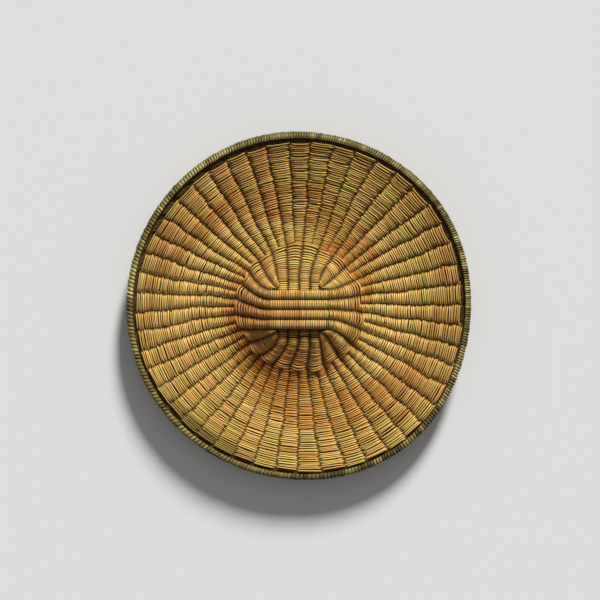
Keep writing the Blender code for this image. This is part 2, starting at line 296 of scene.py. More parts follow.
class Finish:
    """A node material under construction. Each call adds one node and returns its output."""

    def __init__(self, name, roughness, specular=0.3, sheen=0.0):
        self.made = bpy.data.materials.new(name)
        self.made.use_nodes = True
        self.tree = self.made.node_tree
        self.shader = self.tree.nodes["Principled BSDF"]
        self.shader.inputs["Roughness"].default_value = roughness
        self.shader.inputs["Specular IOR Level"].default_value = specular
        self.shader.inputs["Sheen Weight"].default_value = sheen

    def node(self, kind, output, values=(), **settings):
        """Any node: its settings, then a link or a plain value for each socket named."""
        made = self.tree.nodes.new(kind)
        for setting, value in settings.items():
            setattr(made, setting, value)
        for socket, value in dict(values).items():
            if isinstance(value, bpy.types.NodeSocket):
                self.tree.links.new(value, made.inputs[socket])
            else:
                made.inputs[socket].default_value = value
        return made.outputs[output]

    def mark(self, name, output="Fac"):
        """One of the mesh's attributes."""
        return self.node("ShaderNodeAttribute", output, attribute_name=name)

    def math(self, operation, a, b=0.0, clamp=False):
        """One sum of two values."""
        return self.node("ShaderNodeMath", 0, {0: a, 1: b}, operation=operation, use_clamp=clamp)

    def between(self, value, low, high):
        """0 below low, 1 above high, and eased in between."""
        values = {0: value, 1: low, 2: high, 3: 0.0, 4: 1.0}
        return self.node("ShaderNodeMapRange", 0, values, interpolation_type="SMOOTHSTEP")

    def noise(self, place, scale, detail=3.0, roughness=0.55):
        """Soft noise about 0.5, with that many features to a unit of place."""
        values = {"Vector": place, "Scale": scale, "Detail": detail, "Roughness": roughness}
        return self.node("ShaderNodeTexNoise", "Fac", values)

    def stretched(self, place, scale):
        """A place with each of its axes scaled by its own number."""
        return self.node("ShaderNodeMapping", 0, {"Vector": place, "Scale": scale})

    def mix(self, share, first, second, blend="MIX"):
        """The first colour, with that share of the second blended in."""
        values = {0: share, 6: first, 7: second}
        return self.node("ShaderNodeMix", 2, values, data_type="RGBA", blend_type=blend)

    def ramp(self, value, *stops):
        """A colour that goes through the stops, each a place from 0 to 1 and a colour."""
        made = self.node("ShaderNodeValToRGB", 0, {0: value})
        elements = made.node.color_ramp.elements
        while len(elements) < len(stops):
            elements.new(0.5)
        for element, (place, colour) in zip(elements, stops):
            element.position = place
            element.color = (*colour, 1)
        return made

    def finish(self, colour, height=None, strength=0.3, distance=0.0002, roughness=None):
        """Links the colour, a bump from the height, and the roughness to the shader."""
        self.tree.links.new(colour, self.shader.inputs["Base Color"])
        if height is not None:
            values = {"Height": height, "Strength": strength, "Distance": distance}
            bump = self.node("ShaderNodeBump", 0, values)
            self.tree.links.new(bump, self.shader.inputs["Normal"])
        if roughness is not None:
            self.tree.links.new(roughness, self.shader.inputs["Roughness"])
        return self.made


def peeled_rod_finish():
    """Dull brown wood with lengthwise grain: noise stretched along each rod."""
    made = Finish("peeled rod", 0.75, specular=0.06)
    grain = made.noise(made.stretched(made.mark("grain", "Vector"), (60, 2.2, 2.2)), 1.0, 5.0)
    patches = made.noise(made.mark("grain", "Vector"), 25.0)
    value = made.math("MULTIPLY", grain, 0.6)
    value = made.math("ADD", value, made.math("MULTIPLY", made.mark("tone"), 0.4))
    colour = made.ramp(
        value,
        (0.25, (0.040, 0.022, 0.006)),
        (0.5, (0.080, 0.046, 0.012)),
        (0.8, (0.160, 0.100, 0.030)),
    )
    return made.finish(made.mix(patches, colour, (0.050, 0.028, 0.008, 1)), grain, 0.5, 0.0002)


def rib_of_rods(arm, half, reach):
    """The rods of half a bundle: arm numbers by rod and reach, and their width.

    They share out the room between the half's edges evenly. At an outer edge that leaves the
    groove free, or three tenths of a narrow half, and on the bundle's middle line it opens
    as the bundle parts.
    """
    first = arm + half / 2
    width = length(on_plaque(first + 0.5, reach) - on_plaque(first, reach))
    parting = np.clip((reach - HUB_EDGE) / (SPLIT_RADIUS - HUB_EDGE), 0, 1)
    margin = np.minimum(0.30, GROOVE_ROOM / width)
    edges = np.stack((margin, margin), -1)
    edges[:, 1 - half] *= parting
    low, high = 0.5 * edges[:, 0], 0.5 - 0.5 * edges[:, 1]
    share = ((np.arange(RODS_IN_RIB) + 0.5) / RODS_IN_RIB)[:, None]
    arms = first + low + (high - low) * share
    return arms, np.minimum(2 * (high - low) * width / RODS_IN_RIB * TOUCHING, ROD_WIDTH)


def rod_path(arm, half):
    """Points, facings and widths of a rib's rods, from the hub to their ends in the rim.

    Past the last row of weaving they ease over sideways and down.
    """
    inner = np.linspace(HUB_EDGE, SPLIT_RADIUS, 6)
    outer = np.linspace(0.064, WEAVE_EDGE - 0.004, 12)
    bend = np.array((-0.0014, 0.0008, 0.0026, 0.0042)) + WEAVE_EDGE
    reach = np.concatenate((inner, outer, bend))
    arms, width = rib_of_rods(arm, half, reach)
    arms = arms + BENT_SIDEWAYS * smoothstep((reach - WEAVE_EDGE + 0.002) / 0.008)
    points = on_plaque(arms, reach)
    points[..., 2] -= BENT_DOWN * smoothstep((reach - WEAVE_EDGE + 0.001) / 0.003)
    return points, facing(arms, reach), np.broadcast_to(width, arms.shape)


def rods(name, paths):
    """One mesh from the paths of many rods, each with its points, facings and widths."""
    points, ups, widths = (np.concatenate([path[i] for path in paths]) for i in range(3))
    number, steps = points.shape[:2]
    tone = np.random.default_rng(5).uniform(0, 1, number)
    return tubes(
        name,
        points.reshape(-1, 3),
        np.gradient(points, axis=1).reshape(-1, 3),
        ups.reshape(-1, 3),
        widths.ravel(),
        widths.ravel(),
        np.arange(number) * steps,
        tone=np.repeat(tone, steps),
    )


def crossing(arm, opposite):
    """The rods of a bundle that runs from rim to rim: one side's paths, then the other's."""
    paths = []
    for half in range(2):
        near, far = rod_path(arm, half), rod_path(opposite, 1 - half)
        paths.append([np.concatenate((a[:, ::-1], b[::-1]), axis=1) for a, b in zip(near, far)])
    return paths


peeled_rod = peeled_rod_finish()
# A group's bundles leave the cross at its first four arms, and again at the four opposite.
for name, side in (("across", 0), ("upright", 6)):
    paths = [path for i in range(4) for path in crossing(side - 2 + i, side + 13 - i)]
    nodes = [f"rods_{name}_{i}" for i in range(1, 9)]
    show(rods(f"{name}_rods", paths), peeled_rod, "peeled_rods", *nodes)
# Each corner's two bundles follow the quarter's four, and each has two halves.
paths = [rod_path(2 + 6 * (i // 4) + i // 2 % 2, i % 2) for i in range(16)]
nodes = [f"rods_corner_{i}" for i in range(1, 17)]
show(rods("corner_rods", paths), peeled_rod, "peeled_rods", *nodes)


# Pads
# Before the two groups of rods are crossed, fine dry stems are woven through each: over one
# bundle, under the next, round the outer one and back. The pad across lies on the face, and
# the upright one behind it.

PAD_HALF_LENGTHS = (0.0274, 0.0266)
PAD_PASSES = (64, 60)
PAD_STEM_THICKNESS = 0.0012
PAD_STEM_SPANS = (7, 19)  # bundles a stem spans: at least the first, and fewer than the second
PAD_ROOM = 0.0003  # between a rod and the stem over it
PAD_END_ROOM = 0.0007  # from the pad's end to the middle of its last stem
PAD_SHOULDER = 0.0036  # over how much of a bundle's width a stem climbs from its groove
# Colour of the painted shade in the grooves and between the stems
GROOVE_SHADE_BROWN = (0.045, 0.022, 0.004, 1)
# Tint of dyed stems, also laid on as painted shade at the hub's lower left and by the dome
DYE_AND_SHADE_TINT = (0.80, 0.53, 0.42, 1)


def stem_finish(name, straw, dark, pale, groove):
    """Dry stems: a colour for each stem, blotches and fibres along it, painted shade in the grooves.

    tone is the stem's own random number, dye how much it is dyed there in a washed-out
    red, with painted shade in that at places, and dip is painted shade: mostly how deep
    it dives between two ribs, which darkens it from the groove value on. hue is a second random
    number, which leans the stem's colour to green or to pink. Both its sides are darker, as dust
    and as painted shade between the stems. A dry stem has no gloss, only the soft sheen of its fibres.
    """
    made = Finish(name, 0.65, specular=0.0, sheen=0.08)
    grain = made.mark("grain", "Vector")
    tone = made.mark("tone")
    fibres = made.noise(made.stretched(grain, (140, 3.2, 3.2)), 1.0, 4.0, 0.6)
    blotches = made.noise(made.stretched(grain, (75, 0.5, 0.5)), 1.0, 3.0, 0.65)
    value = made.math("MULTIPLY", tone, 0.80)
    value = made.math("ADD", value, made.math("MULTIPLY", blotches, 0.30))
    streaks = made.math("MULTIPLY", made.math("SUBTRACT", fibres, 0.5), 0.5)
    value = made.math("ADD", value, streaks, clamp=True)
    colour = made.ramp(value, (0.14, dark), (0.46, straw), (0.86, pale))
    hue = made.mark("hue")
    green, neither, pink = (0.90, 1.0, 0.78), (1.0, 1.0, 1.0), (1.09, 0.90, 0.96)
    leaning = made.ramp(hue, (0.0, green), (0.5, neither), (1.0, pink))
    colour = made.mix(1.0, colour, leaning, "MULTIPLY")
    # Dyed stems, and painted shade in the same tint at the hub's lower left.
    colour = made.mix(made.mark("dye"), colour, DYE_AND_SHADE_TINT, "MULTIPLY")
    sideways = made.math("ABSOLUTE", made.node("ShaderNodeSeparateXYZ", 2, {0: grain}))
    seam = made.math("MULTIPLY", made.between(sideways, 0.40, 0.87), 0.35)
    dip = made.math("MULTIPLY", made.between(made.mark("dip"), groove, 1.0), 0.92)
    # Painted shade in the grooves and between stems, with some dust at the stems' sides.
    colour = made.mix(made.math("MAXIMUM", dip, seam), colour, GROOVE_SHADE_BROWN)
    rough = made.node("ShaderNodeMapRange", 0, {0: fibres, 1: 0.3, 2: 0.7, 3: 0.56, 4: 0.74})
    return made.finish(colour, fibres, 0.4, 0.00025, rough)


def stem_ends(rng, count, shortest, longest):
    """Where a long strand is pieced: running sums of random numbers of spans."""
    cuts = np.cumsum(rng.integers(shortest, longest, count // shortest + 2))
    return cuts[cuts < count]


def cut_strand(cuts, count):
    """Ring numbers of a strand, each ring at a cut used twice, and where each stem starts."""
    rings = np.sort(np.concatenate((np.arange(count), cuts)))
    starts = np.concatenate(([0], cuts + np.arange(len(cuts)) + 1))
    return rings, starts


def pad_weave(name, quarter, seed):
    """Stems that run to and fro over four bundles, stepping along the pad at each pass.

    Their height is a sine up from each groove, level, and a sine down, on the face and on the
    back in turn. At the outer bundles' edges, where the strand turns back, it falls to nothing
    as a quarter circle does. Stems are lighter towards the pad's ends, apart from its dyed
    corner, and the upright pad has painted shadow under the other one's lower half and just below it.
    """
    pitch, half_length, passes = (
        sizes[quarter] for sizes in ((ACROSS_PITCH, UPRIGHT_PITCH), PAD_HALF_LENGTHS, PAD_PASSES)
    )
    rng = np.random.default_rng(seed)
    bundles, stations = 4, 9
    span = np.arange(passes * bundles * stations + 1) / stations
    number, across = np.divmod(span, bundles)
    sideways = np.where(number % 2 == 0, across, bundles - across) - bundles / 2
    part = span % 1
    rise = np.sin(np.pi / 2 * np.clip(np.minimum(part, 1 - part) * pitch / PAD_SHOULDER, 0, 1))
    side = np.where(np.floor(span) % 2 < 1, 1, -1)
    edge = smoothstep((np.abs(sideways) - 1.55) / 0.45)
    crest = ROD_WIDTH / 2 + PAD_ROOM + PAD_STEM_THICKNESS / 2
    crest = crest + 0.0001 * wander(seed + 4, sideways, number)
    height = side * crest * rise * np.sqrt(np.clip(1 - edge**2, 0, 1))
    along = (span / (bundles * passes) - 0.5) * 2 * (half_length - PAD_END_ROOM)
    along = along + 0.00016 * wander(seed + 1, sideways * 2, number * 0.7)
    sway = sideways * pitch * (1 + 0.012 * wander(seed + 2, number * 0.5, number))
    x, y = ((along, sway), (-sway, along))[quarter]
    middle = CREST + DOME_RISE + (PAD_LAYER, -PAD_LAYER)[quarter]
    points = np.stack((x, y - PAD_DROP, middle + height), -1)
    cuts = stem_ends(rng, passes * bundles, *PAD_STEM_SPANS)
    rings, starts = cut_strand(cuts * stations, len(points))
    run = np.diff(np.append(starts, len(rings)))
    step = 2 * half_length / passes
    width = 2 * step * (0.38 + 0.54 * rise)
    # Painted shadow of the pad across, on the upright pad.
    shaded = quarter * (side > 0) * smoothstep((0.0235 + along) / 0.002) * smoothstep(-along / 0.001)
    dyed_corner = smoothstep((-along - 0.018) / 0.008) * smoothstep((0.8 - sideways) / 0.8)
    worn = 0.14 + 0.24 * smoothstep((np.abs(along + 0.001) - 0.008) / 0.010) - 0.28 * dyed_corner
    tone = 0.1 + 0.7 * np.repeat(rng.uniform(0, 1, len(starts)), run) + worn[rings]
    return tubes(
        name,
        points[rings],
        np.gradient(points, axis=0)[rings],
        np.broadcast_to((0.0, 0.0, 1.0), (len(rings), 3)),
        width[rings],
        (PAD_STEM_THICKNESS * (0.85 + 0.15 * rise))[rings],
        starts,
        tone=tone,
        hue=np.repeat(rng.uniform(0, 1, len(starts)), run),
        dye=np.clip(0.42 - 11 * along + 0.35 * wander(seed + 3, number * 0.12, sideways), 0, 1)[rings],
        dip=np.maximum(1 - rise, 0.75 * shaded)[rings],
    )


straw, dark, pale = (0.57, 0.368, 0.110), (0.29, 0.154, 0.032), (0.78, 0.545, 0.195)
pad_stem = stem_finish("pad stem", straw, dark, pale, 0.35)
show(pad_weave("front_pad_stems", 0, 21), pad_stem, "pad_stems", "front_pad_weave")
straw, dark, pale = (0.50, 0.295, 0.070), (0.22, 0.105, 0.016), (0.77, 0.51, 0.14)
dyed_stem = stem_finish("dyed pad stem", straw, dark, pale, 0.15)
show(pad_weave("back_pad_stems", 1, 31), dyed_stem, "pad_stems", "back_pad_weave")


# Hub
# Two strands of stems chase each other round the crossed pads, each over one bundle and under
# the next, so that every bundle becomes a round rib. The last rows stand proud, as a lip.

STEM_THICKNESS = 0.0016
STEM_END = 0.85  # a stem's size at its two ends, over its size between them
GROOVE_WANDER = 0.030  # how far a groove strays sideways from row to row, in arms
HUB_TURNS = 17
HUB_STEM_SPANS = (6, 17)
HUB_SHOULDER, HUB_WIDEST = 0.0055, 0.0019
HUB_FILLED = 0.93  # of the room between the rows on the face, where they are packed tightest
HUB_LIP = 0.00022


def weave(name, ribs, turns, places, marks, fit, seed, stem_spans):
    """Two strands that spiral outwards half a turn's step apart, over one rib and under the next.

    Across a rib a strand's height is a sine up from the groove over the shoulder, then level,
    then a sine down. Its rings are closest at the grooves, which wander sideways by row. places
    are the functions for a row's reach, crest and bow at an arm, and marks those for how light it
    is, painted light and shade included, how dyed it is, painted shade included, and how much
    painted shade it has beyond that. fit is the shoulder, and for the face the widest that a strand
    gets and its share of the room between the rows before and after it. On the back and in the
    grooves it fills nearly all of that. A new stem begins after a random number of spans, from
    the first of stem_spans to one short of the second.
    """
    reach_at, crest_at, bow_at = places
    light_at, dye_at, painted_shade_at = marks
    shoulder, widest, filled = fit
    stations = 8
    rng = np.random.default_rng(seed)
    parts = [[] for _ in range(10)]
    total = 0
    for strand in range(2):
        span = np.arange(turns[0] * ribs, turns[1] * ribs + 1)
        knot = span * (ARMS / ribs)
        row = 2 * span / ribs + strand
        here = reach_at(row, knot)
        rib_width = length(on_plaque(knot + ARMS / ribs, here) - on_plaque(knot, here))
        steep = np.minimum(shoulder / rib_width, 0.5)[:, None]
        part = steep * np.array((0, 0.3, 0.6, 0.94))
        part = np.concatenate((part, np.full((len(span), 1), 0.5), 1 - part[:, :0:-1]), 1)
        rise = np.sin(np.pi / 2 * np.clip(np.minimum(part, 1 - part) / steep, 0, 1))
        side = np.where((span + strand) % 2 == 0, 1, -1)[:, None] * np.ones_like(part)
        middle_arm = (span[:, None] + 0.5) * (ARMS / ribs) * np.ones_like(part)
        arm = (span[:, None] + part) * (ARMS / ribs)
        arm, middle_arm, part, rise, side = (
            a.ravel()[: -stations + 1] for a in (arm, middle_arm, part, rise, side)
        )
        row = 2 * arm / ARMS + strand
        arm = arm + GROOVE_WANDER * wander(seed + 9, 2 * arm, row * 0.9, 2 * ARMS)
        middle = 1 - (2 * part - 1) ** 2
        reach = reach_at(row, arm) + bow_at(row, middle_arm) * middle
        normal = facing(arm, reach)
        before, after = (on_plaque(arm, reach_at(row + step, arm)) for step in (-1, 1))
        room = length(after - before)
        lift = crest_at(row, middle_arm, side) - STEM_THICKNESS / 2
        points = on_plaque(arm, reach) + normal * (side * rise * lift * (0.86 + 0.14 * middle))[:, None]
        cuts = stem_ends(rng, len(span) - 1, *stem_spans)
        rings, starts = cut_strand(cuts * stations, len(points))
        run = np.diff(np.append(starts, len(rings)))
        stout = np.repeat(rng.uniform(0.84, 1.08, len(starts)), run)
        ends = np.ones(len(rings))
        ends[starts] = STEM_END
        ends[np.append(starts[1:], len(rings)) - 1] = STEM_END
        over = np.where(side > 0, np.minimum(room * filled, widest), room * 0.94)
        wide = (over * rise**2 + 0.92 * room * (1 - rise**2))[rings]
        made = (
            points[rings],
            np.gradient(points, axis=0)[rings],
            normal[rings],
            wide * stout * ends,
            STEM_THICKNESS * (0.8 + 0.2 * rise[rings]) * stout * ends,
            starts + total,
            np.repeat(rng.uniform(-0.20, 0.20, len(starts)), run) + light_at(row, middle_arm)[rings],
            np.repeat(rng.uniform(0, 1, len(starts)), run),
            dye_at(2 * middle_arm / ARMS + strand, middle_arm)[rings],
            # painted shade: where the stem dives into a groove, and more where the marks lay it
            np.maximum(1 - rise, painted_shade_at(row, middle_arm))[rings],
        )
        for kept, values in zip(parts, made):
            kept.append(values)
        total += len(rings)
    *shape, tone, hue, dye, dip = (np.concatenate(part) for part in parts)
    return tubes(name, *shape, tone=tone, hue=hue, dye=dye, dip=dip)


def hub_reach(row, arm):
    """Even steps from the pads to the ring where the bundles part, with a little wander."""
    share = (row + 1) / (2 * HUB_TURNS + 1)
    first = HUB_EDGE - 0.0004
    return first + (SPLIT_RADIUS - first) * share + 0.00022 * wander(41, arm, row * 0.6)


def hub_crest(row, arm, side):
    """The plaque's crest, unevenly, and a lip on the face at the last rows.

    The lip is one less the cosine of the direction from the face's top, so there it is level.
    """
    lip = HUB_LIP - HUB_LIP * np.cos(way_of(arm) - np.radians(90))
    lip = smoothstep((row - 2 * HUB_TURNS + 6) / 4) * lip
    return CREST - 0.0001 + 0.00030 * wander(42, arm, row * 0.9) + np.where(side > 0, lip, 0)


def hub_bow(row, arm):
    """How far a stem bulges outwards over a rib: at random, and more at the last rows.

    That is one less most of the cosine of the direction from the top, where there is hardly any.
    """
    late = 1 - 0.95 * np.cos(way_of(arm) - np.radians(90))
    late = smoothstep((row - 2 * HUB_TURNS + 7) / 7) * late
    return 0.0001 + 0.0005 * late + 0.00045 * wander(44, arm, row * 0.4)


def hub_light(row, arm):
    """How light the stems are: in blocks of some rows on one rib, and more at the bottom.

    It eases off outwards at the lower right, by a power of that direction's cosine, as painted shade.
    """
    way = way_of(arm)
    paler = 0.20 * smoothstep(towards(way, 275))
    # Painted shade at the lower right.
    dim = 0.38 * smoothstep((row - 18) / 12) * towards(way, 322) ** 7
    return 0.68 + paler - dim + 0.14 * wander(40, 2 * arm, row * 0.17, 2 * ARMS)


def hub_dye(row, arm):
    """Stems dyed pale in patches of a bundle's width; deeper towards the lower left and less towards
    the upper right, by a cosine, as painted shade.
    """
    deep = np.cos(way_of(arm) - np.radians(225))
    # Deeper at the lower left and less at the upper right: painted shade.
    most = 0.32 + 0.46 * smoothstep(deep) - 0.2 * smoothstep(-deep)
    return np.clip(most + 0.40 * wander(43, arm, row * 0.4), 0, 1)


def hub_lower_left_shade(row, arm):
    """Painted shade at the lower left, away from the lamp: a touch, by the square of that direction's
    cosine.
    """
    return 0.2 * towards(way_of(arm), 215) ** 2


straw, dark, pale = (0.49, 0.292, 0.074), (0.22, 0.109, 0.018), (0.715, 0.476, 0.145)
hub_stem = stem_finish("hub stem", straw, dark, pale, 0.08)
places, marks = (hub_reach, hub_crest, hub_bow), (hub_light, hub_dye, hub_lower_left_shade)
fit = (HUB_SHOULDER, HUB_WIDEST, HUB_FILLED)
hub = weave("hub_stems", ARMS, (-1, HUB_TURNS), places, marks, fit, 51, HUB_STEM_SPANS)
show(hub, hub_stem, "hub_stems", "hub_weave")


# Outer weave
# Outside the hub each bundle is two ribs, and the two strands go on over forty-eight ribs, out
# to the edge. Faded dye shows a whirl of two arms. The plaque rests on the first rows' backs,
# and the last rows are looser, with gaps.

OUTER_TURNS = 54
OUTER_STEM_SPANS = (7, 22)
OUTER_SHOULDER, OUTER_WIDEST, OUTER_FILLED = 0.0052, 0.0016, 0.84
WHIRL_STEP = 0.0102  # how far out a dyed band moves in one arm
WHIRLS = ((19.25, 2.35), (6.2, 2.4))  # middle arm at a reach of 0.1, and half width in arms


def last_reach(way):
    """Where the rows end: cosines of one, two and three turns, furthest out at the lower right."""
    swell = 0.0014 * np.cos(way - np.radians(312)) + 0.0005 * np.cos(2 * way - np.radians(69))
    return WEAVE_EDGE - 0.0006 + swell + 0.0008 * np.cos(3 * way - np.radians(207))


def outer_reach(row, arm):
    """Steps that widen towards the edge at the upper right, with wander, so that rows bunch up.

    At the bottom the last rows spread out and nearly close the groove along the rim, and at the
    top they end sooner.
    """
    share = (row + 1) / (2 * OUTER_TURNS + 1)
    loose = 1 + 0.14 * towards(way_of(arm), 70)
    first = SPLIT_RADIUS - 0.0008
    reach = first + (last_reach(way_of(arm)) - first) * np.clip(share, 0, 1.02) ** loose
    bunch = 0.00050 * wander(61, arm, row * 0.36) + 0.00012 * wander(68, 2 * arm, row * 0.9, 2 * ARMS)
    return reach + bunch * (1 + 0.5 * share) * smoothstep(share * 20)


def outer_crest(row, arm, side):
    """The plaque's crest, less at random, so that some stems lie deeper."""
    return CREST - 0.00026 + 0.00024 * wander(62, 2 * arm, row * 0.9, 2 * ARMS)


def outer_bow(row, arm):
    """How far a stem bows over a rib: either way at random, and inwards near the loose edge."""
    sag = smoothstep((row / (2 * OUTER_TURNS) - 0.55) / 0.3) * towards(way_of(arm), 60)
    return 0.00055 * wander(67, 2 * arm, row * 0.3, 2 * ARMS) - 0.0007 * sag


def outer_light(row, arm):
    """How light the stems are: in blocks, with painted light left and right of the hub, and painted
    shade round it.

    The painted light is a power of a cosine round the plaque, times a bell in the reach. The
    painted shade is below, left and above: powers of cosines again, eased off outwards. At the
    upper left there is painted shade further out, in a bell.
    """
    way, reach = way_of(arm), outer_reach(row, arm)
    side = towards(way, 358) ** 2 + 0.85 * towards(way, 158) ** 3
    # Painted light, left and right of the hub.
    painted_side_light = 0.28 * side * bell(reach, 0.092, 0.028)
    # Painted shade below, left and above the hub, and further out at the upper left.
    below = 0.26 * smoothstep((0.107 - reach) / 0.035) * towards(way, 250)
    left = 0.16 * smoothstep((0.082 - reach) / 0.014) * towards(way, 180)
    above = 0.14 * smoothstep((0.076 - reach) / 0.010) * towards(way, 105) ** 4
    upper_left = 0.13 * bell(reach, 0.106, 0.016) * towards(way, 128) ** 3
    dim = below + left + above + upper_left
    return 0.60 + painted_side_light - dim + 0.15 * wander(40, 2 * arm, row * 0.17, 2 * ARMS)


def outer_dye(row, arm):
    """Two bands that wind outwards: an arm number less the reach over a step is level in each.

    The edges step from rib to rib and waver. Inside a band the stems are dyed in patches. The
    dyeing fades towards the rim, where the stems at the upper right are a little browned all over.
    Close to the hub the lower left is fully dyed, which also stands in as painted shadow of the dome.
    """
    way, reach = way_of(arm), outer_reach(row, arm)
    turn = arm - (reach - 0.1) / WHIRL_STEP + 0.3 * wander(65, 2 * arm, row * 0.05, 2 * ARMS)
    band = 0
    for middle, half in WHIRLS:
        away = np.abs((turn - middle + ARMS / 2) % ARMS - ARMS / 2)
        band = np.maximum(band, smoothstep((half - away) / 0.5 + 0.5))
    patch = smoothstep(0.5 + 0.75 * wander(64, 2 * arm, row * 0.20, 2 * ARMS))
    # A dyed band, and painted shadow of the dome in the same tint.
    near_hub = smoothstep((0.080 - reach) / 0.016) * smoothstep(0.2 + np.cos(way - np.radians(225)))
    outermost = smoothstep((reach - 0.120) / 0.03)
    brown = 0.30 * outermost * smoothstep(0.2 + np.cos(way - np.radians(60)))
    faint = 0.16 + 0.26 * smoothstep(wander(66, 2 * arm, row * 0.3, 2 * ARMS)) + brown * (1 - band)
    return np.clip(faint + band * (0.18 + 0.60 * patch) * (1 - 0.4 * outermost) + 0.75 * near_hub, 0, 1)


def outer_edge_shade(row, arm):
    """Painted shade on the last rows, under the rim, and by the edge at the top; darker by the edge at
    the lower left too. In bells round the edge.
    """
    top, low = (
        (way_of(arm) - np.radians(middle) + np.pi) % (2 * np.pi) - np.pi for middle in (92, 236)
    )
    # Painted shade by the rim at the top; at the lower left just darker.
    most = 0.65 * bell(top, 0, 0.95) + 0.78 * bell(low, 0, 0.64)
    # Painted shade on the last rows, under the rim.
    last = 0.52 * smoothstep((row - 2 * OUTER_TURNS + 5) / 4)
    return np.maximum(most * smoothstep((outer_reach(row, arm) - 0.137) / 0.014), last)


straw, dark, pale = (0.57, 0.373, 0.093), (0.265, 0.143, 0.026), (0.81, 0.580, 0.178)
ring_stem = stem_finish("ring stem", straw, dark, pale, 0.28)
straw, dark, pale = (0.57, 0.378, 0.099), (0.265, 0.145, 0.028), (0.81, 0.588, 0.190)
dish_stem = stem_finish("dish stem", straw, dark, pale, 0.28)
places, marks = (outer_reach, outer_crest, outer_bow), (outer_light, outer_dye, outer_edge_shade)
fit = (OUTER_SHOULDER, OUTER_WIDEST, OUTER_FILLED)
bands = (
    ("ring_stems", (0, 13), ring_stem, "ring_stems", "resting_ring_weave"),
    ("dish_stems_inner", (13, 27), dish_stem, "dish_stems", "dish_weave"),
    ("dish_stems_middle", (27, 40), dish_stem, "dish_stems", "dish_weave"),
    ("dish_stems_outer", (40, OUTER_TURNS), dish_stem, "dish_stems", "dish_weave"),
)
for seed, (name, turns, finish, slot, node) in enumerate(bands, 71):
    band = weave(name, 2 * ARMS, turns, places, marks, fit, seed, OUTER_STEM_SPANS)
    show(band, finish, slot, node)


# Rim core
# The rods' ends, bent over along the edge and gathered into a ring of slightly twisted strands.
# More of them lie loose in the groove between that ring and the weaving.

CORE_STRANDS = 6
CORE_TWIST = 0.0010  # how far from the ring's middle line its strands circle
GROOVE_STRANDS = 9
GROOVE_START = -0.0026  # from the ring's middle line, towards the weaving
GROOVE_FLOOR, GROOVE_SLOPE = -0.0008, 0.35  # height at the ring's middle line, and its rise outwards
BENT_ROD = 0.0017


def on_rim(way, out, up):
    """A point by the rim's middle line, moved outwards and up, with the edge out of round."""
    radius = (RIM_RADIUS + out) * out_of_round(way, RIM_RADIUS)
    height = middle_height(RIM_RADIUS) + up
    return np.stack((radius * np.cos(way), radius * np.sin(way), height), -1)


def rim_core():
    """Closed strands round the ring: each circles the middle line twice as it goes round.

    The first is the middle line itself. In the groove, strands lie side by side from the ring
    to the last row of stems, each with a little random sway.
    """
    steps = 240
    way = np.linspace(0, 2 * np.pi, steps + 1)
    runs = []
    for strand in range(CORE_STRANDS):
        turn = 2 * way + 2 * np.pi * strand / CORE_STRANDS
        distance = 0.0 if strand == 0 else CORE_TWIST
        runs.append(on_rim(way, distance * np.cos(turn), distance * np.sin(turn)))
    groove = last_reach(way) - 0.0004 - RIM_RADIUS
    for share in np.linspace(0, 1, GROOVE_STRANDS):
        sway = 0.00015 * wander(91 + int(GROOVE_STRANDS * share), way * ARMS / (2 * np.pi), 0)
        out = GROOVE_START + (groove - GROOVE_START) * share
        runs.append(on_rim(way, out + sway, GROOVE_FLOOR + GROOVE_SLOPE * out + sway))
    points = np.concatenate(runs)
    travel = np.concatenate([np.gradient(run, axis=0) for run in runs])
    size = np.full(len(points), BENT_ROD)
    up = np.broadcast_to((0.0, 0.0, 1.0), points.shape)
    tone = np.repeat(np.linspace(0, 0.6, len(runs)), steps + 1)
    first = np.arange(len(runs)) * (steps + 1)
    return tubes("rim_core_rods", points, travel, up, size, size, first, tone=tone)


show(rim_core(), peeled_rod, "bent_rod_ends", "rim_core")


# Rim wrap
# A strip of leaf, wound round the ring and through the edge of the weave, some 350 turns. It
# lies in close turns at the upper right, and as loose beads at the lower left.

STRIP_THICKNESS = 0.0011
WRAP_HALF = 0.0029 - STRIP_THICKNESS / 2  # from the ring's middle line to the strip's
WRAP_PITCH, PITCH_SWING = 0.0030, 0.0008  # of its turns, and how much closer or looser they get
WRAP_POWER = 2.6  # of the wrapping's section: 2 would be a circle, and more is squarer


def leaf_finish():
    """Olive to straw leaf: a colour for each length of strip, streaked along it.

    dip is painted shade on the strip: on its inner side, where it turns into the groove away from the
    lamp, and on its outer side at the top.
    """
    made = Finish("leaf strip", 0.62, specular=0.08, sheen=0.05)
    grain = made.mark("grain", "Vector")
    fibres = made.noise(made.stretched(grain, (60, 4.5, 4.5)), 1.0, 4.0, 0.6)
    value = made.math("ADD", made.math("MULTIPLY", fibres, 0.3), -0.15)
    value = made.math("ADD", made.mark("tone"), value, clamp=True)
    colour = made.ramp(
        value,
        (0.00, (0.060, 0.042, 0.010)),
        (0.35, (0.170, 0.130, 0.036)),
        (0.65, (0.350, 0.285, 0.095)),
        (1.00, (0.680, 0.580, 0.240)),
    )
    # Painted shade, in a near-black brown.
    colour = made.mix(made.mark("dip"), colour, (0.030, 0.018, 0.004, 1))
    return made.finish(colour, fibres, 0.4, 0.0003)


